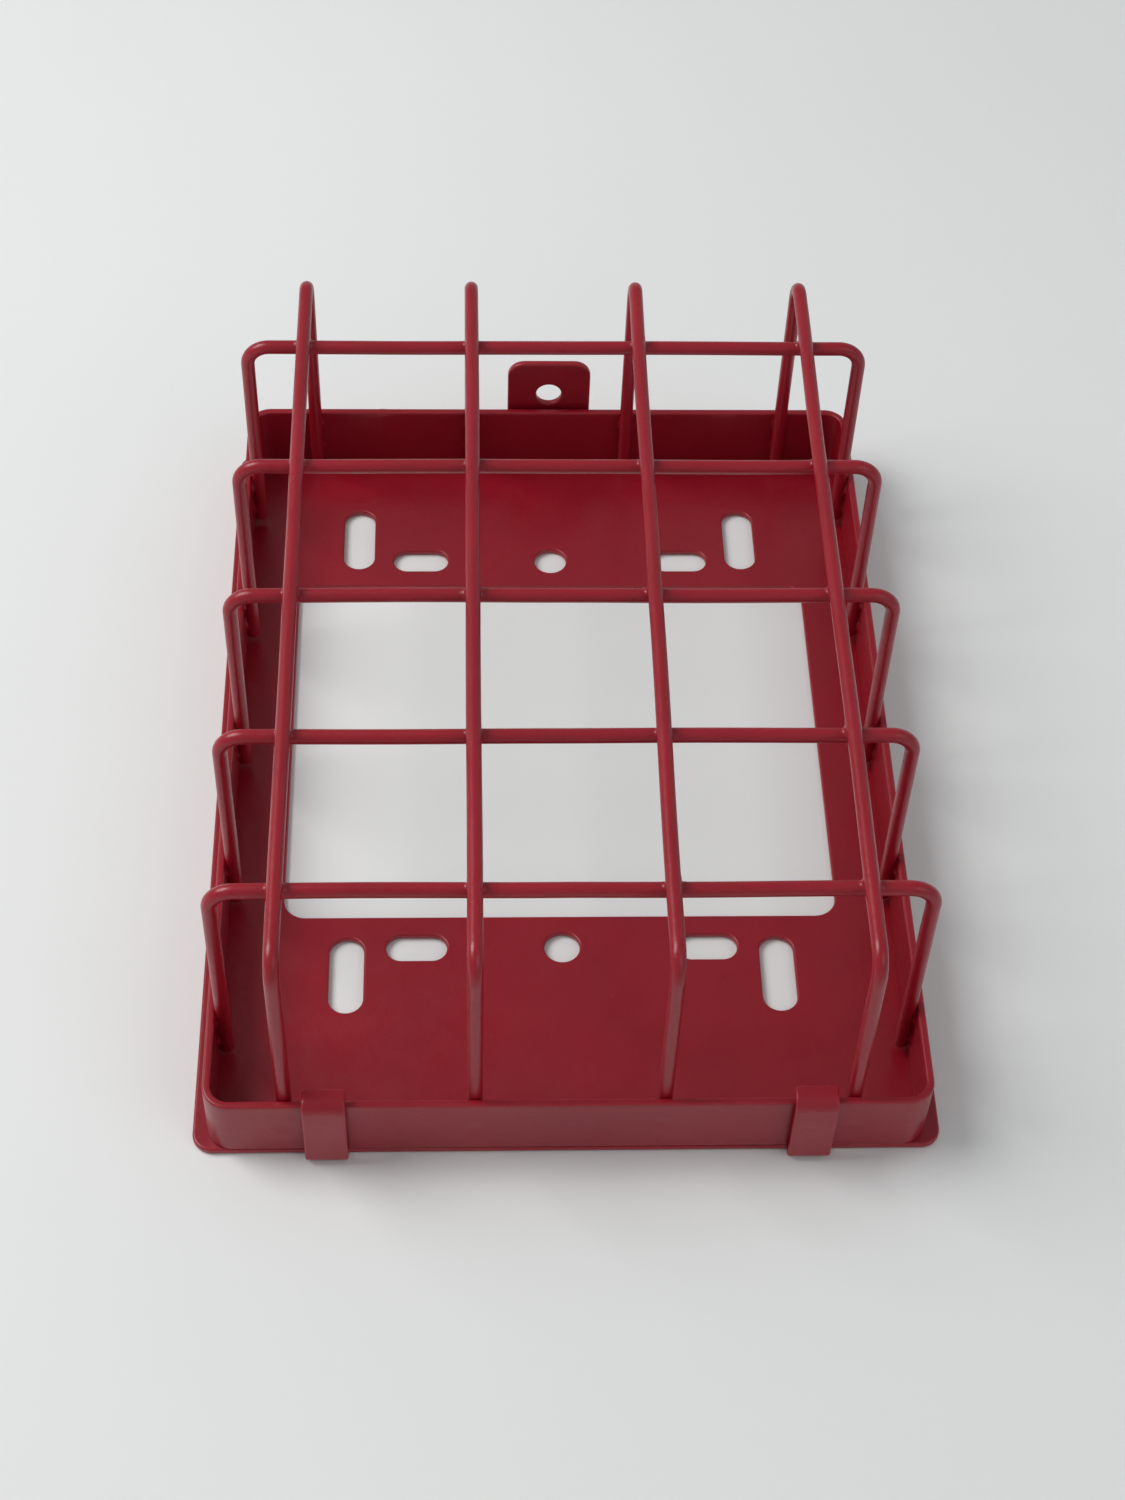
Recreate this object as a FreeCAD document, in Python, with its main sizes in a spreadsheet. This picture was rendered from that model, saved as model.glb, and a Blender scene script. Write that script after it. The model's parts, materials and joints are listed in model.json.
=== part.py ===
import FreeCAD, Part
import math
import os
import Sketcher

# Surface-mounted wire guard: a flat back plate and a welded wire cage that swings on two hooks.
# Frame: the plate's back lies on Z = 0, the cage stands out along +Z, the locking tab is at +Y
# and the hooks are at -Y. The origin is the middle of the plate's back. Millimetres.

# Driving dimensions: (name, value, meaning). Every other size and place follows from these.
SIZES = (
    ("long_wires", 4, "wires that run the long way, outermost in the cage"),
    ("cross_wires", 5, "wires that run the short way, under the long ones"),
    ("grid_pitch", 28.0, "spacing of the wires, both ways"),
    ("wire_diameter", 2.3, "coated wire"),
    ("wire_bend", 3.75, "bend radius of the wire's centre line"),
    ("weld_set", 0.02, "how far two crossing wires sink into each other"),
    ("side_reach", 9.65, "outer long wire to the legs of the cross wires"),
    ("end_reach", 14.65, "outer cross wire to the legs of the long wires"),
    ("cage_height", 45.7, "plate's face to the outermost point of the long wires"),
    ("leg_gap", 1.5, "plate's face to the cut ends of the legs"),
    ("rim_thickness", 1.2, "steel strip of the rim"),
    ("rim_height", 12.0, "width of the steel strip"),
    ("rim_corner", 4.0, "outside corner radius of the rim"),
    ("edge_round", 0.3, "rounding of the rim strip's edges"),
    ("sheet_thickness", 1.2, "steel sheet of the plate, hooks and tab"),
    ("plate_margin", 2.25, "plate past the rim on the long sides"),
    ("plate_corner", 3.0, "corner radius of the plate"),
    ("cutout_width", 88.5, "opening in the plate, short way"),
    ("cutout_length", 71.5, "opening in the plate, long way"),
    ("cutout_corner", 3.5, "corner radius of the opening"),
    ("pattern_shift", 5.0, "middle of the opening and holes, from the plate's middle towards the tab"),
    ("screw_spacing", 83.34, "box screws, long way"),
    ("gang_spacing", 46.04, "double-box screws, short way"),
    ("screw_hole", 5.6, "diameter of the single-box holes"),
    ("gang_slot_width", 4.8, "double-box slots, across"),
    ("gang_slot_length", 9.6, "double-box slots, along the short way of the plate"),
    ("side_slot_spacing", 68.0, "long slots, short way"),
    ("side_slot_rows", 93.6, "long slots, long way"),
    ("side_slot_width", 5.4, "long slots, across"),
    ("side_slot_length", 14.0, "long slots, along the long way of the plate"),
    ("hook_width", 6.4, "each hook"),
    ("hook_wire_gap", 1.65, "side of a hook to the long wire beside it"),
    ("swing_clearance", 0.3, "rim to the tab, at the tightest point of the swing"),
    ("open_angle", 105.0, "how far the cage swings, in degrees"),
    ("lip_clearance", 0.12, "rim to the end of a hook's lip, with the cage open"),
    ("lip_reach", 0.4, "hook's lip past the rim's inner face"),
    ("foot_overlap", 3.0, "hooks' and tab's feet inside the plate's outline"),
    ("tab_width", 14.8, "locking tab"),
    ("tab_corner", 3.0, "corner radius of the locking tab"),
    ("tab_hole", 4.5, "diameter of the lock hole"),
    ("tab_hole_rise", 2.7, "middle of the lock hole above the rim's top edge"),
    ("tab_land", 7.3, "middle of the lock hole to the tab's end"),
)

# Places and sizes that follow from the driving dimensions. The fold gap is the clearance and the
# most that the far side of the rim swings outwards as the cage starts to open. It is also the
# inside radius of the bends. The cage turns about the rim's top edge at the hooks, and the open
# rise is how high the rim's inner face then reaches over that edge, at the end of the hooks' lips.
PLACES = (
    ("outer_wire_x", "sizes.grid_pitch * (sizes.long_wires - 1) / 2"),
    ("outer_wire_y", "sizes.grid_pitch * (sizes.cross_wires - 1) / 2"),
    ("leg_x", "outer_wire_x + sizes.side_reach"),
    ("leg_y", "outer_wire_y + sizes.end_reach"),
    ("rim_inner_x", "leg_x + sizes.wire_diameter / 2"),
    ("rim_inner_y", "leg_y + sizes.wire_diameter / 2"),
    ("rim_outer_x", "rim_inner_x + sizes.rim_thickness"),
    ("rim_outer_y", "rim_inner_y + sizes.rim_thickness"),
    ("rim_top_z", "sizes.sheet_thickness + sizes.rim_height"),
    ("rim_inner_corner", "sizes.rim_corner - sizes.rim_thickness"),
    ("long_wire_z", "sizes.sheet_thickness + sizes.cage_height - sizes.wire_diameter / 2"),
    ("cross_wire_z", "long_wire_z - sizes.wire_diameter + sizes.weld_set"),
    ("leg_end_z", "sizes.sheet_thickness + sizes.leg_gap"),
    ("plate_x", "rim_outer_x + sizes.plate_margin"),
    ("plate_y", "rim_outer_y"),
    ("foot_y", "plate_y - sizes.foot_overlap"),
    ("fold_gap", "sizes.swing_clearance + sizes.rim_height ^ 2 / (4 * rim_outer_y)"),
    ("riser_inner_y", "rim_outer_y + fold_gap"),
    ("riser_outer_y", "riser_inner_y + sizes.sheet_thickness"),
    ("outer_bend", "fold_gap + sizes.sheet_thickness"),
    ("hinge_y", "-(rim_outer_y - sizes.edge_round)"),
    ("hinge_z", "rim_top_z"),
    ("hinge_to_lip_end", "rim_inner_y - sizes.lip_reach + hinge_y"),
    ("open_turn", "sizes.open_angle * 1 deg"),
    ("open_rise", "(sizes.rim_thickness - sizes.edge_round + hinge_to_lip_end * cos(open_turn))"
                  " / sin(open_turn)"),
    ("lip_under_z", "hinge_z + open_rise + sizes.lip_clearance"),
    ("lip_top_z", "lip_under_z + sizes.sheet_thickness"),
    ("lip_end_y", "rim_inner_y - sizes.lip_reach"),
    ("hook_x", "outer_wire_x - sizes.wire_diameter / 2 - sizes.hook_wire_gap - sizes.hook_width / 2"),
    ("tab_hole_z", "rim_top_z + sizes.tab_hole_rise"),
    ("tab_top_z", "tab_hole_z + sizes.tab_land"),
)

ON_EDGE = 1e-4     # how near an edge must lie to a plane to count as in it
START, END, CENTRE = 1, 2, 3
ORIGIN_X_AXIS, ORIGIN_Y_AXIS = -1, -2

doc = FreeCAD.newDocument("wire_guard")


def make_sheets():
    """The sheet of driving dimensions and the sheet of what follows from them."""
    sizes = doc.addObject("Spreadsheet::Sheet", "sizes")
    for row, (name, value, meaning) in enumerate(SIZES, start=1):
        sizes.set("A%d" % row, name)
        sizes.set("B%d" % row, str(value))
        sizes.set("C%d" % row, meaning)
        sizes.setAlias("B%d" % row, name)
    doc.recompute()
    places = doc.addObject("Spreadsheet::Sheet", "places")
    for row, (name, formula) in enumerate(PLACES, start=1):
        places.set("A%d" % row, name)
        places.set("B%d" % row, "=" + formula)
        places.setAlias("B%d" % row, name)
        doc.recompute()
    return sizes, places


sizes, places = make_sheets()


def number(formula):
    """What a formula on the two sheets is worth now."""
    value = sizes.evalExpression(formula)
    return float(getattr(value, "Value", value))


def new_body(name):
    body = doc.addObject("PartDesign::Body", name)
    body.Label = name
    return body


def new_sketch(body, name, plane, height=None):
    """A sketch on one of the body's own origin planes, raised along its normal by a formula."""
    sketch = body.newObject("Sketcher::SketchObject", name)
    support = [feature for feature in body.Origin.OriginFeatures if feature.Role == plane][0]
    sketch.AttachmentSupport = (support, [""])
    sketch.MapMode = "FlatFace"
    if height:
        sketch.setExpression("AttachmentOffset.Base.z", height)
    return sketch


def bind(sketch, constraint, formula):
    """Adds a dimension that a formula drives."""
    index = sketch.addConstraint(constraint)
    sketch.setExpression("Constraints[%d]" % index, formula)


def locate(sketch, geometry, point, axis, formula):
    """Fixes a point's X or Y in the sketch, measured from the sketch's origin."""
    value = number(formula)
    kind = "Distance" + axis
    if abs(value) < ON_EDGE:
        line = ORIGIN_Y_AXIS if axis == "X" else ORIGIN_X_AXIS
        sketch.addConstraint(Sketcher.Constraint("PointOnObject", geometry, point, line))
    elif value > 0:
        bind(sketch, Sketcher.Constraint(kind, -1, 1, geometry, point, value), formula)
    else:
        bind(sketch, Sketcher.Constraint(kind, geometry, point, -1, 1, -value), "-(%s)" % formula)


def draw(sketch, sides, ends=None):
    """Draws a chain of upright and level lines joined by sharp or round corners.

    Each side is (axis, formula, radius): the line on which X or Y has the formula's value, and
    the radius formula of the corner after it, or None for a sharp one. The chain is closed
    unless ends gives the formulas of its first and last point along their lines.
    """
    count = len(sides)
    corners = count if ends is None else count - 1
    values = [number(side[1]) for side in sides]

    def meeting(first, second):
        """The point where two neighbouring lines cross."""
        x, y = values[first], values[second]
        return (x, y) if sides[first][0] == "X" else (y, x)

    def end_point(index, formula):
        place = number(formula)
        x, y = (values[index], place) if sides[index][0] == "X" else (place, values[index])
        return FreeCAD.Vector(x, y, 0)

    points = [FreeCAD.Vector(*meeting(i, (i + 1) % count), 0) for i in range(corners)]
    lines = []
    for i in range(count):
        start = points[i - 1] if ends is None or i > 0 else end_point(0, ends[0])
        finish = points[i] if i < corners else end_point(count - 1, ends[1])
        along = (finish - start).normalize()
        if i < corners and sides[i][2]:
            finish = finish - along * number(sides[i][2])
        if (ends is None or i > 0) and sides[i - 1][2]:
            start = start + along * number(sides[i - 1][2])
        lines.append(sketch.addGeometry(Part.LineSegment(start, finish), False))
    for i in range(corners):
        after = (i + 1) % count
        if not sides[i][2]:
            sketch.addConstraint(Sketcher.Constraint("Coincident", lines[i], END, lines[after], START))
            continue
        radius = number(sides[i][2])
        first = sketch.Geometry[lines[i]].EndPoint
        last = sketch.Geometry[lines[after]].StartPoint
        centre = first + last - points[i]
        middle = centre + (points[i] - centre).normalize() * radius
        forward = (first - centre).cross(last - centre).z > 0
        bend = (first, middle, last) if forward else (last, middle, first)
        near, far = (START, END) if forward else (END, START)
        arc = sketch.addGeometry(Part.Arc(*bend), False)
        sketch.addConstraint(Sketcher.Constraint("Tangent", lines[i], END, arc, near))
        sketch.addConstraint(Sketcher.Constraint("Tangent", arc, far, lines[after], START))
        bind(sketch, Sketcher.Constraint("Radius", arc, radius), sides[i][2])
    for i, (axis, formula, _) in enumerate(sides):
        sketch.addConstraint(Sketcher.Constraint("Vertical" if axis == "X" else "Horizontal", lines[i]))
        locate(sketch, lines[i], START, axis, formula)
    if ends is not None:
        for line, point, side, formula in ((lines[0], START, sides[0], ends[0]),
                                           (lines[-1], END, sides[-1], ends[1])):
            locate(sketch, line, point, "Y" if side[0] == "X" else "X", formula)


def rounded_rectangle(sketch, half_x, half_y, radius, middle_y="0"):
    draw(sketch, (
        ("Y", "%s - (%s)" % (middle_y, half_y), radius),
        ("X", half_x, radius),
        ("Y", "%s + %s" % (middle_y, half_y), radius),
        ("X", "-(%s)" % half_x, radius),
    ))


def circle(sketch, x, y, diameter):
    middle = FreeCAD.Vector(number(x), number(y), 0)
    ring = Part.Circle(middle, FreeCAD.Vector(0, 0, 1), number(diameter) / 2)
    index = sketch.addGeometry(ring, False)
    bind(sketch, Sketcher.Constraint("Diameter", index, number(diameter)), diameter)
    locate(sketch, index, CENTRE, "X", x)
    locate(sketch, index, CENTRE, "Y", y)


def slot(sketch, x, y, along, length, width):
    """A slot with round ends, its long way along X or Y of the sketch."""
    reach = "(%s - %s) / 2" % (length, width)
    turn = 0 if along == "X" else 90
    radius = number(width) / 2
    ends = []
    for sign, first_angle in (("-", 90), ("+", -90)):
        place = {"X": x, "Y": y}
        place[along] = "%s %s %s" % (place[along], sign, reach)
        middle = FreeCAD.Vector(number(place["X"]), number(place["Y"]), 0)
        ring = Part.Circle(middle, FreeCAD.Vector(0, 0, 1), radius)
        start = math.radians(first_angle + turn)
        arc = sketch.addGeometry(Part.ArcOfCircle(ring, start, start + math.pi), False)
        locate(sketch, arc, CENTRE, "X", place["X"])
        locate(sketch, arc, CENTRE, "Y", place["Y"])
        ends.append(arc)
    bind(sketch, Sketcher.Constraint("Radius", ends[0], radius), "%s / 2" % width)
    sketch.addConstraint(Sketcher.Constraint("Equal", ends[0], ends[1]))
    for first, last in ((ends[0], ends[1]), (ends[1], ends[0])):
        start = sketch.Geometry[first].EndPoint
        finish = sketch.Geometry[last].StartPoint
        line = sketch.addGeometry(Part.LineSegment(start, finish), False)
        sketch.addConstraint(Sketcher.Constraint("Tangent", first, END, line, START))
        sketch.addConstraint(Sketcher.Constraint("Tangent", line, END, last, START))


def pad(body, name, sketch, length, symmetric=False):
    feature = body.newObject("PartDesign::Pad", name)
    feature.Profile = sketch
    if symmetric:
        feature.SideType = "Symmetric"
    feature.setExpression("Length", length)
    doc.recompute()
    return feature


def pocket_through(body, name, sketch):
    """Cuts a sketch right through what lies behind it, and proves that it removed metal."""
    before = body.Shape.Volume
    feature = body.newObject("PartDesign::Pocket", name)
    feature.Profile = sketch
    feature.Type = "ThroughAll"
    doc.recompute()
    if not body.Shape.Volume < before - ON_EDGE:
        feature.Reversed = True
        doc.recompute()
    assert body.Shape.Volume < before - ON_EDGE, name + " cuts nothing"
    return feature


def round_edges(body, name, radius, wanted):
    """Rounds the edges of the body's last feature that pass the test."""
    base = body.Tip
    shape = base.Shape
    names = ["Edge%d" % i for i, edge in enumerate(shape.Edges, start=1) if wanted(edge)]
    feature = body.newObject("PartDesign::Fillet", name)
    feature.Base = (base, names)
    feature.setExpression("Radius", radius)
    doc.recompute()
    return feature


def lies_at(edge, z):
    box = edge.BoundBox
    return abs(box.ZMin - z) < ON_EDGE and abs(box.ZMax - z) < ON_EDGE


def make_wire(name, plane, reach, height, shift_axis, shift):
    """A wire bent to a U: two legs and the run between them, on its own plane."""
    body = new_body(name)
    path = new_sketch(body, name + "_path", plane)
    draw(path, (
        ("X", "-" + reach, "sizes.wire_bend"),
        ("Y", height, "sizes.wire_bend"),
        ("X", reach, None),
    ), ends=("places.leg_end_z", "places.leg_end_z"))
    section = new_sketch(body, name + "_section", "XY_Plane", "places.leg_end_z")
    spots = ("-" + reach, "0") if plane == "XZ_Plane" else ("0", "-" + reach)
    circle(section, spots[0], spots[1], "sizes.wire_diameter")
    doc.recompute()
    pipe = body.newObject("PartDesign::AdditivePipe", name + "_pipe")
    pipe.Profile = section
    pipe.Spine = (path, ["Edge%d" % (i + 1) for i in range(path.GeometryCount)])
    body.setExpression("Placement.Base." + shift_axis, shift)
    doc.recompute()
    return body


def make_wires():
    """The grid: long wires outermost, cross wires welded under them, legs inside the rim."""
    bodies = []
    for i in range(int(sizes.long_wires)):
        shift = "sizes.grid_pitch * (%d - (sizes.long_wires - 1) / 2)" % i
        bodies.append(make_wire("long_wire_%d" % (i + 1), "YZ_Plane", "places.leg_y",
                                "places.long_wire_z", "x", shift))
    for i in range(int(sizes.cross_wires)):
        shift = "sizes.grid_pitch * (%d - (sizes.cross_wires - 1) / 2)" % i
        bodies.append(make_wire("cross_wire_%d" % (i + 1), "XZ_Plane", "places.leg_x",
                                "places.cross_wire_z", "y", shift))
    return bodies


def make_rim():
    """A steel strip on edge, bent to a rounded rectangle that stands on the plate."""
    body = new_body("rim_frame")
    outline = new_sketch(body, "rim_outline", "XY_Plane")
    rounded_rectangle(outline, "places.rim_outer_x", "places.rim_outer_y", "sizes.rim_corner")
    rounded_rectangle(outline, "places.rim_inner_x", "places.rim_inner_y", "places.rim_inner_corner")
    doc.recompute()
    pad(body, "rim_strip", outline, "sizes.rim_height")
    top = number("sizes.rim_height")
    round_edges(body, "rim_edges", "sizes.edge_round",
                lambda edge: lies_at(edge, 0) or lies_at(edge, top))
    body.setExpression("Placement.Base.z", "sizes.sheet_thickness")
    doc.recompute()
    return body


def add_hook(body, name, side):
    """A strip folded up outside the rim and in over its top edge, on one side of the middle."""
    profile = new_sketch(body, name + "_profile", "YZ_Plane", side + "places.hook_x")
    draw(profile, (
        ("Y", "0", "places.outer_bend"),
        ("X", "-places.riser_outer_y", "places.outer_bend"),
        ("Y", "places.lip_top_z", None),
        ("X", "-places.lip_end_y", None),
        ("Y", "places.lip_under_z", "places.fold_gap"),
        ("X", "-places.riser_inner_y", "places.fold_gap"),
        ("Y", "sizes.sheet_thickness", None),
        ("X", "-places.foot_y", None),
    ))
    doc.recompute()
    pad(body, name, profile, "sizes.hook_width", symmetric=True)


def add_tab(body):
    """The locking tab, folded up outside the rim, with round corners and the lock hole."""
    profile = new_sketch(body, "tab_profile", "YZ_Plane")
    draw(profile, (
        ("Y", "0", "places.outer_bend"),
        ("X", "places.riser_outer_y", None),
        ("Y", "places.tab_top_z", None),
        ("X", "places.riser_inner_y", "places.fold_gap"),
        ("Y", "sizes.sheet_thickness", None),
        ("X", "places.foot_y", None),
    ))
    doc.recompute()
    pad(body, "tab", profile, "sizes.tab_width", symmetric=True)
    top = number("places.tab_top_z")
    half = number("sizes.tab_width") / 2

    def tab_corner(edge):
        across = abs(abs(edge.CenterOfMass.x) - half) < ON_EDGE and edge.BoundBox.XLength < ON_EDGE
        return across and lies_at(edge, top)

    round_edges(body, "tab_corners", "sizes.tab_corner", tab_corner)
    lock = new_sketch(body, "lock_hole_circle", "XZ_Plane")
    circle(lock, "0", "places.tab_hole_z", "sizes.tab_hole")
    doc.recompute()
    pocket_through(body, "lock_hole", lock)


def make_plate():
    """Flat plate with the opening, the screw holes and slots, two hooks and the locking tab."""
    body = new_body("back_plate")
    outline = new_sketch(body, "plate_outline", "XY_Plane")
    rounded_rectangle(outline, "places.plate_x", "places.plate_y", "sizes.plate_corner")
    doc.recompute()
    pad(body, "plate_sheet", outline, "sizes.sheet_thickness")
    add_hook(body, "left_hook", "-")
    add_hook(body, "right_hook", "")
    add_tab(body)

    holes = new_sketch(body, "openings", "XY_Plane")
    rounded_rectangle(holes, "sizes.cutout_width / 2", "sizes.cutout_length / 2",
                      "sizes.cutout_corner", "sizes.pattern_shift")
    for up in ("-", "+"):
        row = "sizes.pattern_shift %s sizes.screw_spacing / 2" % up
        circle(holes, "0", row, "sizes.screw_hole")
        for across in ("-", ""):
            slot(holes, across + "sizes.gang_spacing / 2", row, "X",
                 "sizes.gang_slot_length", "sizes.gang_slot_width")
            slot(holes, across + "sizes.side_slot_spacing / 2",
                 "sizes.pattern_shift %s sizes.side_slot_rows / 2" % up, "Y",
                 "sizes.side_slot_length", "sizes.side_slot_width")
    doc.recompute()
    pocket_through(body, "opening_cuts", holes)
    return body


def check_and_write(bodies):
    """Stops on any failed feature or bad shape, then writes one file for each piece."""
    doc.recompute()
    for thing in doc.Objects:
        bad = [state for state in thing.State if state in ("Invalid", "Error")]
        assert not bad, "%s is %s" % (thing.Name, bad)
    os.makedirs("parts", exist_ok=True)
    for body in bodies:
        shape = body.Shape
        assert not shape.isNull() and shape.isValid(), body.Label + " has no valid shape"
        assert len(shape.Solids) == 1, body.Label + " isn't one solid"
        shape.exportStep("parts/%s.step" % body.Label)
        box = shape.BoundBox
        print("%-14s %9.2f mm3  X %.2f..%.2f  Y %.2f..%.2f  Z %.2f..%.2f" % (
            body.Label, shape.Volume, box.XMin, box.XMax, box.YMin, box.YMax, box.ZMin, box.ZMax))


check_and_write([make_plate(), make_rim()] + make_wires())
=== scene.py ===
"""Looks of the wire guard: coated sheet, coated wire, welds, table, lights and camera.

The guard's lengths are in millimetres until make_piece turns them into metres. The table, lights,
camera and materials are in metres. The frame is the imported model's: the plate's back on Z = 0,
the cage along +Z, the locking tab at +Y and the hooks at -Y.
"""
import json
import math

import bpy
import numpy as np
from mathutils import Matrix, Vector
from mathutils.geometry import delaunay_2d_cdt


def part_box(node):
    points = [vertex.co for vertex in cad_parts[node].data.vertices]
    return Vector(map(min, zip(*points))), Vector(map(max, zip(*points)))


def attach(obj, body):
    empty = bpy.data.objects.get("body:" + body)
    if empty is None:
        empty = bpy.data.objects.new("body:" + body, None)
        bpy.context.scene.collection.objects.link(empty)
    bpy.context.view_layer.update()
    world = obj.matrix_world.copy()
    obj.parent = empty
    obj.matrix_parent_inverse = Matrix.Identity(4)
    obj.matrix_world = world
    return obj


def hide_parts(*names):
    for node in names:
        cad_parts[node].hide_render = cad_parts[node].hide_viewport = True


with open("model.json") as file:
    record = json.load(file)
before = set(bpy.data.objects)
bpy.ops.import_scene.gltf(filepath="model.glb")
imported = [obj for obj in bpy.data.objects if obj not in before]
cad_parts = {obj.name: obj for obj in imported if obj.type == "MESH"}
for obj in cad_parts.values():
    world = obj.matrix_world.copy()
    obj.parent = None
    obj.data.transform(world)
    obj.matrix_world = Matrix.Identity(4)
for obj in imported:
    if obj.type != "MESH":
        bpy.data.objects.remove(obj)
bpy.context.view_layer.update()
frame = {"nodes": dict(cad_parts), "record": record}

MM = 0.001
FULL_TURN = 6.28       # range of the random phases
random = np.random.default_rng(7)


def box_mm(node):
    low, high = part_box(node)
    return np.array(low) / MM, np.array(high) / MM


def mount_mm(name):
    """A mount's middle and its sizes."""
    mount = [m for m in frame["record"]["mounts"] if m["name"] == name][0]
    return np.array(mount["pos_m"]) / MM, mount["dims"]


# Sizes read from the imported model.
_, plate_high = box_mm("back_plate")
rim_low, rim_high = box_mm("rim_frame")
long_wires = sorted(n for n in frame["nodes"] if n.startswith("long_wire"))
cross_wires = sorted(n for n in frame["nodes"] if n.startswith("cross_wire"))
long_low, long_high = box_mm(long_wires[0])
_, cross_high = box_mm(cross_wires[0])
RADIUS = (long_high[0] - long_low[0]) / 2        # a wire's
SHEET = rim_low[2]                               # the plate's thickness
STRIP = rim_high[0] - cross_high[0]              # the rim strip's thickness
FOLD_GAP = plate_high[1] - SHEET - rim_high[1]   # from the rim to a folded strip
FOLD_TOP = SHEET + FOLD_GAP                      # height where a fold up from the plate ends
FOLD_ARC = (FOLD_GAP + SHEET / 2) * math.pi / 2  # length of sheet in one right-angle fold
LONG_Z = long_high[2] - RADIUS                   # height of the long wires' middle lines
CROSS_Z = cross_high[2] - RADIUS
LEG_X = cross_high[0] - RADIUS                   # from the middle to the cross wires' legs
LEG_Y = long_high[1] - RADIUS
LEG_END = long_low[2]                            # height of a leg's cut end
long_x = [np.mean(box_mm(n), axis=0)[0] for n in long_wires]
cross_y = [np.mean(box_mm(n), axis=0)[1] for n in cross_wires]

# Shape sizes that the frame doesn't give.
WIRE_BEND = 3.75       # radius of a wire's middle line where it bends
RIM_CORNER = 4.0
PLATE_CORNER = 3.0
CUTOUT = (88.5, 71.5)
CUTOUT_CORNER = 3.5
HOOK_WIDTH = 6.4
HOOK_TO_WIRE = 1.65    # from a hook's side to the outermost long wire
HOOK_X = long_x[-1] - RADIUS - HOOK_TO_WIRE - HOOK_WIDTH / 2
HOOK_CORNER = 0.7
LIP_ABOVE_RIM = 1.4
LIP_UNDER = rim_high[2] + LIP_ABOVE_RIM
LIP_PAST_STRIP = 0.4
LIP_REACH = STRIP + LIP_PAST_STRIP
TAB_WIDTH = 14.8
TAB_CORNER = 3.0
COAT_ROUND = 0.36      # the coating rounds every sheet edge

# How finely the shapes are divided.
FOLD_POINTS = 13
CORNER_POINTS = 13
STRIP_CORNER_POINTS = 9
RIM_CORNER_POINTS = 19
RIM_FACE_POINTS = 17   # up each face of the rim
EDGE_POINTS = 6
LEG_POINTS = 40
WIRE_BEND_POINTS = 16
TINY = 1e-6            # two lengths that differ by less are the same
FAR = 1000.0           # further than any point of the guard


# ---------------------------------------------------------------- meshes

def make_piece(name, vertices, faces, material, body, edge=None, replaces=()):
    """A smooth-shaded mesh that rides on a body. Vertices are in millimetres.

    edge is each vertex's share of wear, 0 on a flat face and 1 on an edge.
    """
    mesh = bpy.data.meshes.new(name)
    mesh.from_pydata([tuple(v) for v in np.asarray(vertices) * MM], [], [tuple(f) for f in faces])
    mesh.validate()
    for polygon in mesh.polygons:
        polygon.use_smooth = True
    attribute = mesh.attributes.new("edge", "FLOAT", "POINT")
    values = np.zeros(len(mesh.vertices)) if edge is None else edge
    attribute.data.foreach_set("value", np.asarray(values, np.float32))
    mesh.materials.append(material)
    piece = bpy.data.objects.new(name, mesh)
    bpy.context.scene.collection.objects.link(piece)
    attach(piece, body)
    if replaces:
        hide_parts(*replaces)


def arc(middle, radius, first, last, count):
    """Points on an arc, angles in degrees, both ends included."""
    angles = np.radians(np.linspace(first, last, count))
    return [(middle[0] + radius * math.cos(a), middle[1] + radius * math.sin(a)) for a in angles]


def offset_loop(points, distance):
    """The loop moved inwards (to its left when it runs anticlockwise) by a distance."""
    points = np.asarray(points, float)
    before = points - np.roll(points, 1, axis=0)
    after = np.roll(points, -1, axis=0) - points
    before /= np.linalg.norm(before, axis=1)[:, None]
    after /= np.linalg.norm(after, axis=1)[:, None]
    normal_before = np.stack([-before[:, 1], before[:, 0]], axis=1)
    normal_after = np.stack([-after[:, 1], after[:, 0]], axis=1)
    both = normal_before + normal_after
    both /= np.linalg.norm(both, axis=1)[:, None]
    sharpest = 0.4
    stretch = 1 / np.clip((both * normal_after).sum(axis=1), sharpest, 1)
    return points + both * (stretch * distance)[:, None]


def inside_loop(points, loop):
    """Which points lie inside a closed loop."""
    x, y = points[:, 0], points[:, 1]
    x1, y1 = loop[:, 0], loop[:, 1]
    x2, y2 = np.roll(x1, -1), np.roll(y1, -1)
    crosses = (y1[None] > y[:, None]) != (y2[None] > y[:, None])
    with np.errstate(divide="ignore", invalid="ignore"):
        place = x1 + (y[:, None] - y1) * (x2 - x1) / (y2 - y1)
    return (crosses & (x[:, None] < place)).sum(axis=1) % 2 == 1


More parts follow.
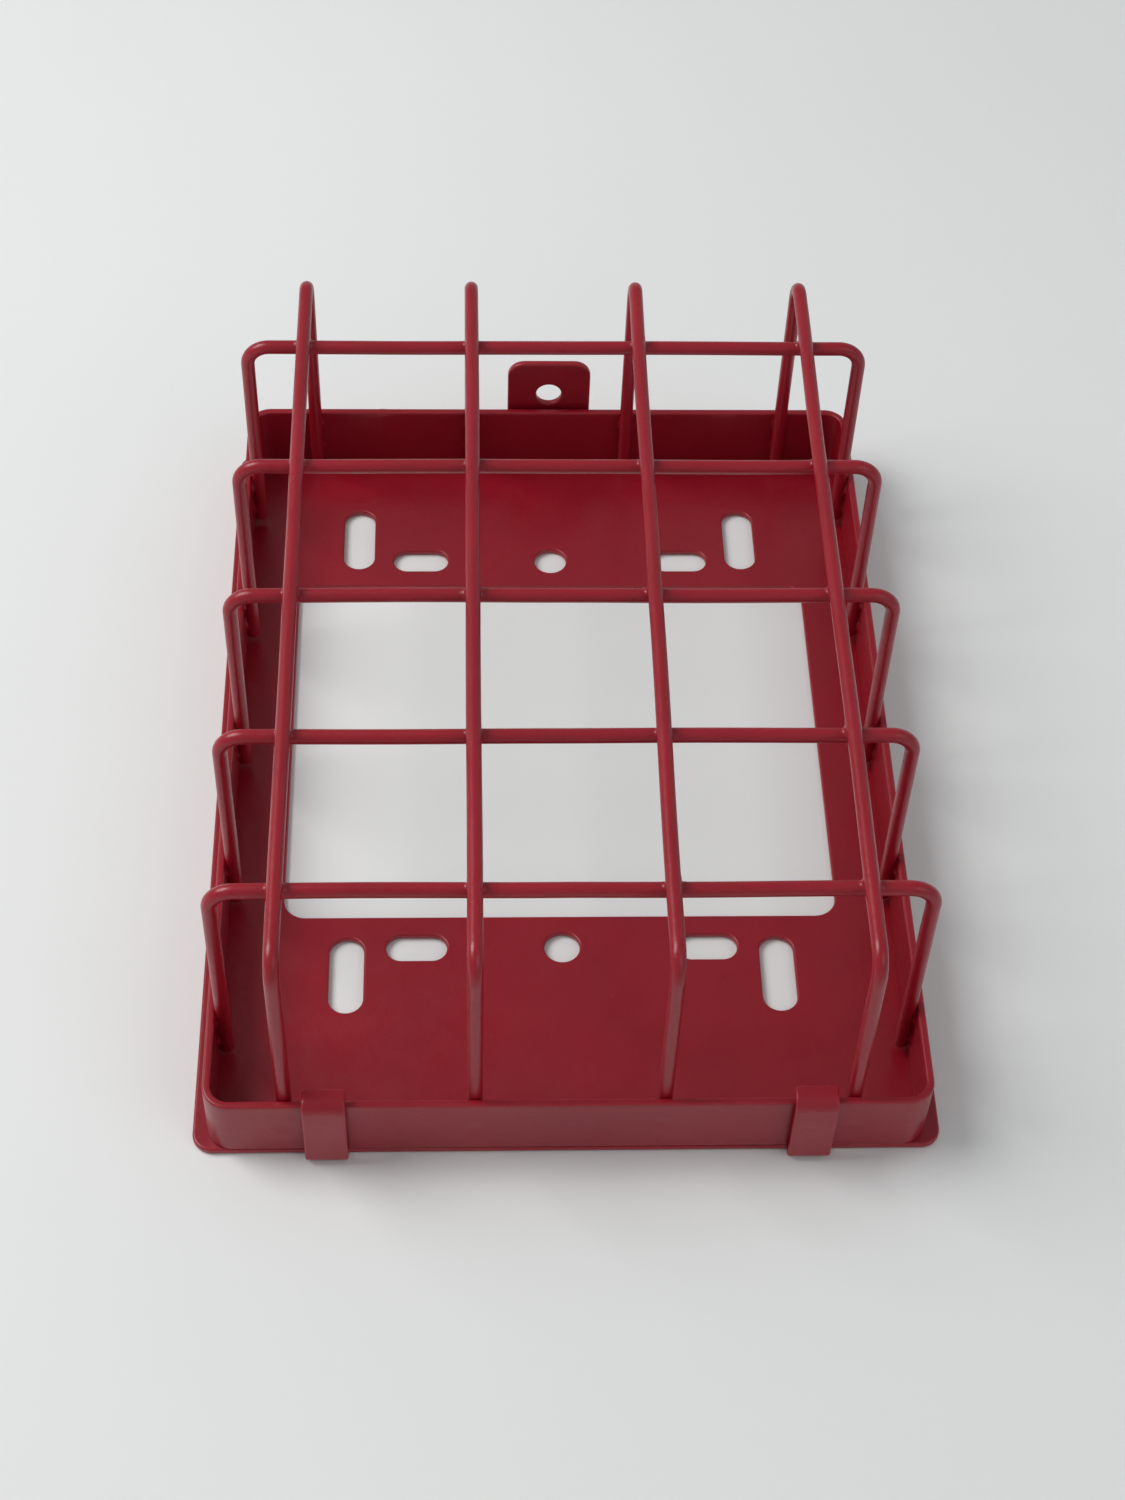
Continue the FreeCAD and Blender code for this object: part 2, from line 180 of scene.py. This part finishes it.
def surface_net(field, low, step):
    """A closed mesh of quads where the field changes sign. The field is negative inside."""
    inside = field < 0
    size = np.array(field.shape) - 1
    total = np.zeros((*size, 3))
    count = np.zeros(size)

    def corner_values(corner):
        return field[tuple(slice(c, c + n) for c, n in zip(corner, size))]

    for corner in np.ndindex(2, 2, 2):
        for axis in range(3):
            if corner[axis]:
                continue
            other = tuple(1 if m == axis else c for m, c in enumerate(corner))
            first, second = corner_values(corner), corner_values(other)
            crosses = (first < 0) != (second < 0)
            share = np.where(crosses, first / np.where(crosses, first - second, 1), 0)
            for m in range(3):
                total[..., m] += np.where(crosses, corner[m] + (share if m == axis else 0), 0)
            count += crosses
    used = count > 0
    index = np.full(used.shape, -1)
    index[used] = np.arange(used.sum())
    vertices = np.array(low) + (np.argwhere(used) + total[used] / count[used][:, None]) * step
    quads = []
    for axis, (u, v) in enumerate(((1, 2), (2, 0), (0, 1))):
        start = tuple(slice(0, -1) if m == axis else slice(1, -1) for m in range(3))
        end = tuple(slice(1, None) if m == axis else slice(1, -1) for m in range(3))
        places = np.argwhere(inside[start] != inside[end])
        leaves = inside[start][tuple(places.T)]
        places = places + np.array([0 if m == axis else 1 for m in range(3)])
        step_u, step_v = np.eye(3, dtype=int)[u], np.eye(3, dtype=int)[v]
        ring = [places, places - step_u, places - step_u - step_v, places - step_v]
        quad = np.stack([index[tuple(p.T)] for p in ring], axis=1)
        quad[~leaves] = quad[~leaves][:, ::-1]
        quads.append(quad)
    return vertices, np.concatenate(quads)


def smooth_union(first, second, reach):
    """Two distance fields joined with a concave fillet."""
    share = np.clip(reach - np.abs(first - second), 0, None) / reach
    return np.minimum(first, second) - share * share * reach / 4


def grid_points(low, high, step):
    """The coordinates of a box's grid of points, one array an axis."""
    axes = [np.arange(a, b + step, step) for a, b in zip(low, high)]
    return np.meshgrid(*axes, indexing="ij")


# ---------------------------------------------------------------- back plate

def fold_levels(hook):
    """Where a strip's folds need points, as distances from the plate's edge, and its length."""
    first = np.linspace(0, FOLD_ARC, FOLD_POINTS)
    if hook:
        rise = LIP_UNDER - FOLD_GAP - FOLD_TOP
        second = FOLD_ARC + rise + first
        return np.concatenate([first, second]), FOLD_ARC + rise + FOLD_ARC + LIP_REACH
    return first, FOLD_ARC + plate_high[2] - FOLD_TOP


def fold(points):
    """Bends the strips up from the flat sheet, and the hooks' lips in over the rim."""
    points = points.copy()
    edge = rim_high[1]
    beyond = np.abs(points[:, 1]) - edge
    side = np.sign(points[:, 1])
    radius = FOLD_TOP - points[:, 2]
    rise = np.where(side < 0, LIP_UNDER - FOLD_GAP - FOLD_TOP, FAR)
    first = np.clip(beyond / FOLD_ARC, 0, 1) * math.pi / 2
    out = edge + radius * np.sin(first)
    up = FOLD_TOP - radius * np.cos(first) + np.clip(beyond - FOLD_ARC, 0, rise)
    second = np.clip((beyond - FOLD_ARC - rise) / FOLD_ARC, 0, 1) * math.pi / 2
    over = beyond > FOLD_ARC + rise
    out = np.where(over, edge + radius * np.cos(second), out)
    up = np.where(over, FOLD_TOP + rise + radius * np.sin(second), up)
    out = out - np.clip(beyond - 2 * FOLD_ARC - rise, 0, None)
    moved = beyond > 0
    points[moved, 1] = (side * out)[moved]
    points[moved, 2] = up[moved]
    return points


def strip_outline(middle, width, levels, length, corner):
    """A strip's right side, end and left side, and the number of points in each side."""
    half = width / 2
    nearest = 0.05      # a side's last point to the corner at its end
    levels = [s for s in levels if s < length - corner - nearest]
    right = [(middle + half, s) for s in levels]
    left = [(middle - half, s) for s in reversed(levels)]
    top = arc((middle + half - corner, length - corner), corner, 0, 90, STRIP_CORNER_POINTS)
    top += arc((middle - half + corner, length - corner), corner, 90, 180, STRIP_CORNER_POINTS)
    return right + top + left, len(levels)


def plate_outline():
    """The sheet before it is folded, anticlockwise, and the pairs of points across each strip."""
    half_x, half_y = plate_high[0], rim_high[1]
    inner_x, inner_y = half_x - PLATE_CORNER, half_y - PLATE_CORNER
    points, pairs = [], []

    def add_corner(x, y, first):
        points.extend(arc((x, y), PLATE_CORNER, first, first + 90, CORNER_POINTS))

    def add_strip(middle, width, hook, corner):
        levels, length = fold_levels(hook)
        outline, count = strip_outline(middle, width, levels, length, corner)
        if hook:
            outline = [(2 * middle - x, -half_y - s) for x, s in outline]
        else:
            outline = [(x, half_y + s) for x, s in outline]
        first, last = len(points), len(points) + len(outline) - 1
        points.extend(outline)
        pairs.extend((first + i, last - i) for i in range(count))

    add_corner(-inner_x, -inner_y, 180)
    add_strip(-HOOK_X, HOOK_WIDTH, True, HOOK_CORNER)
    add_strip(HOOK_X, HOOK_WIDTH, True, HOOK_CORNER)
    add_corner(inner_x, -inner_y, 270)
    add_corner(inner_x, inner_y, 0)
    add_strip(0.0, TAB_WIDTH, False, TAB_CORNER)
    add_corner(-inner_x, inner_y, 90)
    return np.array(points), pairs


def round_loop(middle, half_x, half_y, radius):
    """A rounded rectangle, slot or circle, anticlockwise, with no point twice."""
    x, y = half_x - radius, half_y - radius
    points = []
    for turn, (sx, sy) in enumerate(((1, 1), (-1, 1), (-1, -1), (1, -1))):
        corner = (middle[0] + sx * x, middle[1] + sy * y)
        points += arc(corner, radius, turn * 90, turn * 90 + 90, CORNER_POINTS)
    return [p for i, p in enumerate(points) if math.dist(p, points[i - 1]) > TINY]


def circle(x, y, radius):
    return round_loop((x, y), radius, radius, radius)


def plate_holes():
    """Every hole's loop, clockwise, so that moving it to its left makes it larger."""
    middle, single = mount_mm("single_box_holes")
    _, double = mount_mm("double_box_slots")
    left, upright = mount_mm("left_surface_slots")
    right, _ = mount_mm("right_surface_slots")
    loops = [round_loop(middle, CUTOUT[0] / 2, CUTOUT[1] / 2, CUTOUT_CORNER)]
    for up in (-1, 1):
        row = middle[1] + up * single["spacing_y_mm"] / 2
        loops.append(circle(middle[0], row, single["hole_r_mm"]))
        radius, half = double["hole_r_mm"], double["slot_length_mm"] / 2
        for across in (-1, 1):
            x = middle[0] + across * double["spacing_x_mm"] / 2
            loops.append(round_loop((x, row), half, radius, radius))
        radius, half = upright["hole_r_mm"], upright["slot_length_mm"] / 2
        for place in (left, right):
            y = place[1] + up * upright["spacing_y_mm"] / 2
            loops.append(round_loop((place[0], y), radius, half, radius))
    lock, lock_sizes = mount_mm("lock_hole")
    along = rim_high[1] + FOLD_ARC + lock[2] - FOLD_TOP
    loops.append(circle(lock[0], along, lock_sizes["r_mm"]))
    return [np.array(loop[::-1]) for loop in loops]


def edge_profile(thickness, radius):
    """(offset, height, edge) from the flat top round the edge to the flat bottom."""
    support = 0.15      # width of the flat band that keeps the faces' shading flat
    steps = np.radians(np.linspace(0, 90, EDGE_POINTS))
    rows = [(radius + support, thickness, 0.0)]
    rows += [(radius * (1 - math.sin(a)), thickness - radius * (1 - math.cos(a)),
              math.sin(a)) for a in steps]
    rows += [(radius * (1 - math.sin(a)), radius * (1 - math.cos(a)),
              math.sin(a)) for a in steps[::-1]]
    rows += [(radius + support, 0.0, 0.0)]
    return rows


def make_plate(material):
    """The folded sheet in one piece, every edge and hole rounded by the coating."""
    outline, pairs = plate_outline()
    loops = [outline] + plate_holes()
    profile = edge_profile(SHEET, COAT_ROUND)
    vertices, edge, faces, starts = [], [], [], []
    for loop in loops:
        starts.append(len(vertices))
        for offset, height, mark in profile:
            ring = offset_loop(loop, offset)
            vertices += [(x, y, height) for x, y in ring]
            edge += [mark] * len(ring)
        count = len(loop)
        for k in range(len(profile) - 1):
            a = starts[-1] + k * count
            for i in range(count):
                j = (i + 1) % count
                faces.append((a + i, a + count + i, a + count + j, a + j))
    flat, ids, edges = [], [], []
    for start, loop in zip(starts, loops):
        first, count = len(flat), len(loop)
        flat += [vertices[start + i][:2] for i in range(count)]
        ids += [(start + i, start + (len(profile) - 1) * count + i) for i in range(count)]
        edges += [(first + i, first + (i + 1) % count) for i in range(count)]
    edges += pairs
    places, _, triangles, origins, _, _ = delaunay_2d_cdt([Vector(p) for p in flat], edges, [],
                                                          0, TINY)
    points = np.array([tuple(p) for p in places])
    source = [ids[origin[0]] for origin in origins]
    triangles = np.array(triangles)
    centres = points[triangles].mean(axis=1)
    keep = inside_loop(centres, np.array(flat[:len(outline)]))
    first = len(outline)
    for loop in loops[1:]:
        keep &= ~inside_loop(centres, np.array(flat[first:first + len(loop)]))
        first += len(loop)
    for a, b, c in triangles[keep]:
        faces.append((source[a][0], source[b][0], source[c][0]))
        faces.append((source[c][1], source[b][1], source[a][1]))
    shape = fold(np.array(vertices, float))
    make_piece("coated_plate", shape, faces, material, "root", edge,
               ["back_plate"])


# ---------------------------------------------------------------- rim

RIM_STEP = 0.7           # between points along the rim
MARK_DEPTH = 0.13        # of an electrode's mark
MARK_RIDGE = 0.035       # height of the ridge round it
SEAM_X = -30.0           # where the strip's two ends meet
SEAM_HALF_WIDTH = 0.9    # of its weld bead
SEAM_OUT, SEAM_IN = 0.22, 0.14      # how far the bead stands out on each face


def rim_path(step):
    """Points of the strip's middle line and its outward directions, once round."""
    radius = RIM_CORNER - STRIP / 2
    half_x, half_y = rim_high[0] - STRIP / 2 - radius, rim_high[1] - STRIP / 2 - radius
    points, normals = [], []
    corners = ((half_x, half_y), (-half_x, half_y), (-half_x, -half_y), (half_x, -half_y))
    for turn, (x, y) in enumerate(corners):
        for angle in np.radians(np.linspace(turn * 90, turn * 90 + 90, RIM_CORNER_POINTS)):
            points.append((x + radius * math.cos(angle), y + radius * math.sin(angle)))
            normals.append((math.cos(angle), math.sin(angle)))
        next_x, next_y = corners[(turn + 1) % 4]
        start = np.array(points[-1])
        along = np.array((next_x - x, next_y - y))
        length = np.linalg.norm(along)
        for share in np.linspace(0, 1, int(length / step) + 1)[1:-1]:
            points.append(tuple(start + along * share))
            normals.append(normals[-1])
    return np.array(points), np.array(normals)


def rim_profile():
    """(outward, height, edge) round the strip's section, starting inside at the bottom."""
    half, radius = STRIP / 2, COAT_ROUND
    bottom, top = rim_low[2], rim_high[2]
    flats = np.linspace(bottom + radius, top - radius, RIM_FACE_POINTS)[1:-1]
    rows = [(-half, z, 0.0) for z in flats]

    def corner(out, z, first):
        for angle in np.radians(np.linspace(first, first - 90, EDGE_POINTS)):
            mark = abs(math.sin(2 * (angle - math.radians(first))))
            rows.append((out + radius * math.cos(angle), z + radius * math.sin(angle), mark))

    corner(-half + radius, top - radius, 180)
    corner(half - radius, top - radius, 90)
    rows.extend((half, z, 0.0) for z in flats[::-1])
    corner(half - radius, bottom + radius, 0)
    corner(-half + radius, bottom + radius, -90)
    return np.array(rows)


def leg_places():
    """Each leg's place on the strip's inner face, and the direction outwards there."""
    places = []
    for x in long_x:
        places += [((x, side * (LEG_Y + RADIUS)), (0, side)) for side in (-1, 1)]
    for y in cross_y:
        places += [((side * (LEG_X + RADIUS), y), (side, 0)) for side in (-1, 1)]
    return places


def make_rim(material):
    """The bent strip, with an electrode's mark outside each leg and a bead where its ends meet."""
    points, normals = rim_path(RIM_STEP)
    profile = rim_profile()
    base = points[:, None, :] + normals[:, None, :] * profile[None, :, 0, None]
    heights = np.broadcast_to(profile[None, :, 1], base.shape[:2])
    outer = profile[None, :, 0] > STRIP / 2 - TINY
    inner = profile[None, :, 0] < -STRIP / 2 + TINY
    push = np.zeros(base.shape[:2])
    middle = (rim_low[2] + rim_high[2]) / 2
    for (x, y), (nx, ny) in leg_places():
        away = np.array((x + nx * STRIP, y + ny * STRIP))
        mark_z = middle + random.uniform(-1.2, 1.2)
        reach = np.sqrt(((base - away) ** 2).sum(axis=2) + (heights - mark_z) ** 2)
        near = reach / random.uniform(1.15, 1.4)
        mark = -MARK_DEPTH * np.exp(-near ** 4)
        ridge = MARK_RIDGE * np.exp(-((near - 1.35) / 0.28) ** 2)
        push += outer * (mark + ridge)
    tab_side = 3        # how far from the tab's side the bead may be
    elsewhere = base[..., 1] < rim_high[1] - tab_side
    across = np.abs(base[..., 0] - SEAM_X) + FAR * elsewhere
    ripple = 1 + 0.25 * np.sin(heights * 4.1) + 0.15 * np.sin(heights * 9.7 + 1)
    bead = np.exp(-(across / SEAM_HALF_WIDTH) ** 2) * ripple
    push += outer * SEAM_OUT * bead - inner * SEAM_IN * bead
    ring = base + normals[:, None, :] * push[..., None]
    vertices = np.concatenate([ring, heights[..., None]], axis=2).reshape(-1, 3)
    edge = np.tile(profile[:, 2], len(points))
    count, sides = len(points), len(profile)
    faces = []
    for i in range(count):
        a, b = i * sides, (i + 1) % count * sides
        for k in range(sides):
            m = (k + 1) % sides
            faces.append((a + k, a + m, b + m, b + k))
    make_piece("coated_rim", vertices, faces, material, "cage", edge,
               ["rim_frame"])


# ---------------------------------------------------------------- wires

WIRE_SIDES = 32
WIRE_END_ROUND = 0.55    # rounding of a cut end
WIRE_STEP = 1.2          # between points along a wire's level run


def bent_line(half, top):
    """The U's middle line from one cut end to the other: (across, height, angle of travel)."""
    line = [(-half, z, 90.0) for z in np.linspace(LEG_END, top - WIRE_BEND, LEG_POINTS)]
    for angle in np.linspace(180, 90, WIRE_BEND_POINTS)[1:]:
        turn = math.radians(angle)
        line.append((-half + WIRE_BEND + WIRE_BEND * math.cos(turn),
                     top - WIRE_BEND + WIRE_BEND * math.sin(turn), angle - 90))
    run = half - WIRE_BEND
    line += [(x, top, 0.0) for x in np.linspace(-run, run, int(2 * run / WIRE_STEP))[1:]]
    back = [(-x, z, -angle) for x, z, angle in line if x < -run - TINY]
    return line + back[::-1]


def make_wire(name, half, top, place, lengthwise, material):
    """A bent wire with softly rounded cut ends and a slight bow sideways."""
    line = np.array(bent_line(half, top))
    sides = WIRE_SIDES
    angles = np.linspace(0, 2 * math.pi, sides, endpoint=False)
    phase, bow = random.uniform(0, FULL_TURN), random.uniform(0.05, 0.14)
    rings, edge = [], []
    ends = [(RADIUS - WIRE_END_ROUND * (1 - math.sin(a)), WIRE_END_ROUND * (1 - math.cos(a)))
            for a in np.radians(np.linspace(0, 90, EDGE_POINTS))[:-1]]
    rows = [(line[0], size, shift) for size, shift in ends]
    rows += [(p, RADIUS, 0.0) for p in line[1:-1]]
    rows += [(line[-1], size, -shift) for size, shift in ends[::-1]]
    for (across, height, angle), size, shift in rows:
        turn = math.radians(angle)
        along = np.array((math.cos(turn), math.sin(turn)))
        inward = np.array((-math.sin(turn), math.cos(turn)))
        spot = np.array((across, height)) + along * shift
        free = math.sin(math.pi * min(1, abs(across / half))) if abs(angle) < 1 else 0
        side = bow * free * math.sin(across / half * 4 + phase)
        for a in angles:
            u, z = spot + inward * size * math.cos(a)
            v = place + side + size * math.sin(a)
            rings.append((v, u, z) if lengthwise else (u, v, z))
        edge += [0.0 if size > RADIUS - TINY else 1.0] * sides
    faces = []
    for i in range(len(rows) - 1):
        for k in range(sides):
            m = (k + 1) % sides
            quad = (i * sides + k, i * sides + m, (i + 1) * sides + m, (i + 1) * sides + k)
            faces.append(quad if lengthwise else quad[::-1])
    last = (len(rows) - 1) * sides
    caps = [tuple(range(sides - 1, -1, -1)), tuple(range(last, last + sides))]
    faces += caps if lengthwise else [cap[::-1] for cap in caps]
    make_piece("coated_" + name, rings, faces, material, "cage", edge, [name])


# ---------------------------------------------------------------- welds

WELD_SUNK = 0.03         # how deep a weld's skin lies in the metal, away from its fillet


def closed_net(field_at, low, high, step):
    """The field's surface, on a grid that is moved a little until each edge has just two faces."""
    for shift in np.linspace(0, step, 16, endpoint=False):
        start = np.array(low) - shift * np.array((1.0, 0.7, 0.4))
        vertices, quads = surface_net(field_at(*grid_points(start, high, step)), start, step)
        edges = np.concatenate([quads[:, [i, (i + 1) % 4]] for i in range(4)])
        if np.unique(np.sort(edges, axis=1), axis=0, return_counts=True)[1].max() == 2:
            break
    return vertices, quads


def crossing_weld(x, y):
    """The fused metal and coating where a long wire lies on a cross wire."""
    middle_z = (LONG_Z + CROSS_Z) / 2
    turn, lump = random.uniform(0, FULL_TURN), random.uniform(0.0, 0.09)
    reach = random.uniform(0.95, 1.35)
    half_width, half_height, step = 2.25, 1.4, 0.15
    grid_corner = np.array((2.4, 2.4, 1.5))

    def field_at(gx, gy, gz):
        upper = np.hypot(gx, gz - (LONG_Z - middle_z)) - RADIUS + WELD_SUNK
        lower = np.hypot(gy, gz - (CROSS_Z - middle_z)) - RADIUS + WELD_SUNK
        swell = lump * np.cos(np.arctan2(gy, gx) * 2 + turn) * np.exp(-(gx ** 2 + gy ** 2) / 3)
        bound = np.sqrt((gx / half_width) ** 2 + (gy / half_width) ** 2
                        + (gz / half_height) ** 2) - 1
        return np.maximum(smooth_union(upper, lower, reach) - swell, bound)

    vertices, quads = closed_net(field_at, -grid_corner, grid_corner, step)
    return vertices + np.array((x, y, middle_z)), quads


def leg_weld(place, outward):
    """The fused metal and coating where a leg runs down the rim's inner face."""
    # The grid's box has X along the rim and Y outwards, from the strip's inner face.
    low = (-2.3, -1.9, LEG_END + 0.3)
    high = (2.3, 0.75, rim_high[2] - 0.5)
    step = 0.18
    spots = [(random.uniform(0.5, 0.8), z, random.uniform(0.8, 1.2))
             for z in (low[2] + random.uniform(1.9, 2.9), high[2] - random.uniform(1.8, 2.6))]
    middle = (low[2] + high[2]) / 2
    tall = (high[2] - low[2]) / 2 - 0.2

    def field_at(gx, gy, gz):
        leg = np.hypot(gx, gy + RADIUS) - RADIUS + WELD_SUNK
        reach = 0.45 + sum(size * np.exp(-((gz - z) / spread) ** 2) for size, z, spread in spots)
        bound = (gx / 2.1) ** 4 + ((gy + 0.55) / 1.15) ** 4 + ((gz - middle) / tall) ** 8 - 1
        return np.maximum(smooth_union(leg, WELD_SUNK - gy, reach), bound * 0.3)

    vertices, quads = closed_net(field_at, low, high, step)
    nx, ny = outward
    turned = vertices.copy()
    turned[:, 0] = place[0] + vertices[:, 0] * ny + vertices[:, 1] * nx
    turned[:, 1] = place[1] - vertices[:, 0] * nx + vertices[:, 1] * ny
    return turned, quads


def make_welds(material):
    """All crossings as one piece and all legs as another."""
    groups = {
        "grid_welds": [crossing_weld(x, y) for x in long_x for y in cross_y],
        "leg_welds": [leg_weld(place, outward) for place, outward in leg_places()],
    }
    for name, welds in groups.items():
        vertices, faces, count = [], [], 0
        for points, quads in welds:
            vertices.append(points)
            faces.append(quads + count)
            count += len(points)
        make_piece(name, np.concatenate(vertices), np.concatenate(faces), material, "cage")


# ---------------------------------------------------------------- materials

def node(tree, kind, **settings):
    """A new node, in a row to the left of the others. A name that starts in_ sets a socket."""
    made = tree.nodes.new(kind)
    made.location = (-200 * len(tree.nodes), 0)
    for name, value in settings.items():
        if name.startswith("in_"):
            made.inputs[name[3:].replace("_", " ")].default_value = value
        else:
            setattr(made, name, value)
    return made


def noise(tree, coordinates, scale, detail, roughness):
    """A noise from 0 to 1. Its scale is the number of its patches in a metre."""
    made = node(tree, "ShaderNodeTexNoise", in_Scale=scale, in_Detail=detail,
                in_Roughness=roughness)
    tree.links.new(coordinates, made.inputs["Vector"])
    return made.outputs["Fac"]


def ramp(tree, value, low, high, first=0.0, last=1.0):
    """A smooth step from first to last as the value goes from low to high."""
    made = node(tree, "ShaderNodeMapRange", interpolation_type="SMOOTHSTEP", in_From_Min=low,
                in_From_Max=high, in_To_Min=first, in_To_Max=last)
    tree.links.new(value, made.inputs["Value"])
    return made.outputs["Result"]


def combine(tree, operation, first, second):
    """Two values added or multiplied. Each is a socket or a number."""
    made = node(tree, "ShaderNodeMath", operation=operation)
    for socket, value in zip(made.inputs, (first, second)):
        if isinstance(value, (int, float)):
            socket.default_value = value
        else:
            tree.links.new(value, socket)
    return made.outputs[0]


def mix_colour(tree, factor, first, second):
    """The first colour where the factor is 0, and the second where it is 1."""
    made = node(tree, "ShaderNodeMix", data_type="RGBA")
    tree.links.new(factor, made.inputs["Factor"])
    colour_a, colour_b, mixed = made.inputs[6], made.inputs[7], made.outputs[2]
    for socket, value in ((colour_a, first), (colour_b, second)):
        if isinstance(value, tuple):
            socket.default_value = (*value, 1)
        else:
            tree.links.new(value, socket)
    return mixed


def new_material(name):
    """A material, its node tree, its shader and the coordinates of its piece in metres."""
    material = bpy.data.materials.new(name)
    material.use_nodes = True
    tree = material.node_tree
    place = node(tree, "ShaderNodeTexCoord").outputs["Object"]
    return material, tree, tree.nodes["Principled BSDF"], place


def red_coating(name, peel, shade):
    """Red powder coating: orange peel, uneven tone, thin bright edges and a few fine nicks.

    peel is how much finer the orange peel is, and shade how much lighter the red.
    """
    material, tree, shader, place = new_material(name)
    edge = node(tree, "ShaderNodeAttribute", attribute_name="edge").outputs["Fac"]
    base = (0.300 * shade, 0.0054 * shade, 0.0172 * shade)
    deep = (0.262 * shade, 0.0045 * shade, 0.0145 * shade)
    thin = (0.40, 0.014, 0.026)
    dust = (0.50, 0.20, 0.21)
    steel = (0.17, 0.13, 0.125)
    patches = noise(tree, place, 45, 3, 0.55)
    tone = mix_colour(tree, ramp(tree, patches, 0.3, 0.7), base, deep)
    specks = noise(tree, place, 1400, 2, 0.6)
    tone = mix_colour(tree, ramp(tree, specks, 0.72, 0.80, 0, 0.12), tone, dust)
    tone = mix_colour(tree, combine(tree, "MULTIPLY", edge, 0.34), tone, thin)
    knocks = noise(tree, place, 420, 3, 0.65)
    nicks = combine(tree, "MULTIPLY", ramp(tree, edge, 0.75, 1.0),
                    ramp(tree, knocks, 0.71, 0.735))
    tone = mix_colour(tree, nicks, tone, steel)
    tree.links.new(tone, shader.inputs["Base Color"])
    satin = noise(tree, place, 170, 3, 0.6)
    tree.links.new(ramp(tree, satin, 0.3, 0.75, 0.29, 0.39), shader.inputs["Roughness"])
    shader.inputs["Specular IOR Level"].default_value = 0.45
    shader.inputs["Coat Weight"].default_value = 0.06
    shader.inputs["Coat Roughness"].default_value = 0.16
    orange_peel = noise(tree, place, 620 * peel, 2, 0.45)
    grain = combine(tree, "MULTIPLY", noise(tree, place, 1900 * peel, 1, 0.5), 0.35)
    height = combine(tree, "ADD", orange_peel, grain)
    bump = node(tree, "ShaderNodeBump", in_Strength=1.0, in_Distance=0.000045)
    tree.links.new(height, bump.inputs["Height"])
    tree.links.new(bump.outputs["Normal"], shader.inputs["Normal"])
    return material


def table_top():
    """A pale matt top, very slightly uneven in tone."""
    material, tree, shader, place = new_material("table_top")
    tone = mix_colour(tree, ramp(tree, noise(tree, place, 3, 3, 0.5), 0.3, 0.7),
                      (0.865, 0.88, 0.875), (0.83, 0.845, 0.84))
    tree.links.new(tone, shader.inputs["Base Color"])
    shader.inputs["Roughness"].default_value = 0.62
    return material


# ---------------------------------------------------------------- stage

def make_floor():
    """A flat pale table that curves up, far out, into a round backdrop. Metres."""
    flat, bend, top, sides = 0.90, 0.50, 1.30, 72
    below_plate = 0.0001
    profile = [(flat + bend * math.sin(a), bend - bend * math.cos(a))
               for a in np.radians(np.linspace(0, 90, 16))] + [(flat + bend, top)]
    vertices = [(r * math.cos(turn), r * math.sin(turn), z) for r, z in profile
                for turn in np.linspace(0, 2 * math.pi, sides, endpoint=False)]
    faces = [tuple(range(sides))]
    for k in range(len(profile) - 1):
        for i in range(sides):
            j = (i + 1) % sides
            a, b = k * sides, (k + 1) * sides
            faces.append((b + i, b + j, a + j, a + i))
    mesh = bpy.data.meshes.new("table")
    mesh.from_pydata(vertices, [], faces)
    for polygon in mesh.polygons:
        polygon.use_smooth = polygon.index > 0
    mesh.materials.append(table_top())
    floor = bpy.data.objects.new("table", mesh)
    floor.location.z = -below_plate
    bpy.context.scene.collection.objects.link(floor)


def add_light(name, place, target, size, power, colour):
    """A round soft light, its width in metres and its power in watts."""
    data = bpy.data.lights.new(name, "AREA")
    data.shape = "DISK"
    data.size = size
    data.energy = power
    data.color = colour
    light = bpy.data.objects.new(name, data)
    light.location = place
    light.rotation_euler = (Vector(target) - Vector(place)).to_track_quat("-Z", "Y").to_euler()
    bpy.context.scene.collection.objects.link(light)


def make_lights():
    """Daylight from the left, a weak fill from the near right, and an even pale surround."""
    world = bpy.data.worlds.new("studio")
    bpy.context.scene.world = world
    world.use_nodes = True
    background = world.node_tree.nodes["Background"]
    background.inputs["Color"].default_value = (0.96, 0.985, 1.0, 1)
    background.inputs["Strength"].default_value = 0.35
    target = (0, 0, 0.01)
    add_light("window", (-0.58, 0.12, 0.72), target, 0.58, 5.7, (1.0, 0.99, 0.98))
    add_light("fill", (0.55, -0.50, 0.60), target, 0.60, 0.8, (0.96, 0.98, 1.0))


def make_camera():
    """Above the near end, looking down at the guard at the picture's angle."""
    data = bpy.data.cameras.new("camera")
    data.lens = 62.7
    data.sensor_width = 36.0
    data.clip_start = 0.01
    camera = bpy.data.objects.new("camera", data)
    camera.location = (-0.0155, -0.2715, 0.3432)
    turn = Vector([math.radians(a) for a in (38.78, -2.03, -0.88)])
    rotation = Matrix.Rotation(turn.length, 3, turn.normalized())
    camera.rotation_mode = "QUATERNION"
    camera.rotation_quaternion = rotation.to_quaternion()
    bpy.context.scene.collection.objects.link(camera)
    bpy.context.scene.camera = camera


sheet_coating = red_coating("coated_sheet", peel=1.0, shade=1.0)
wire_coating = red_coating("coated_wire", peel=1.25, shade=1.06)
make_plate(sheet_coating)
make_rim(sheet_coating)
for wire, spot in zip(long_wires, long_x):
    make_wire(wire, LEG_Y, LONG_Z, spot, True, wire_coating)
for wire, spot in zip(cross_wires, cross_y):
    make_wire(wire, LEG_X, CROSS_Z, spot, False, wire_coating)
make_welds(wire_coating)
make_floor()
make_lights()
make_camera()
bpy.context.scene.view_settings.view_transform = "Standard"
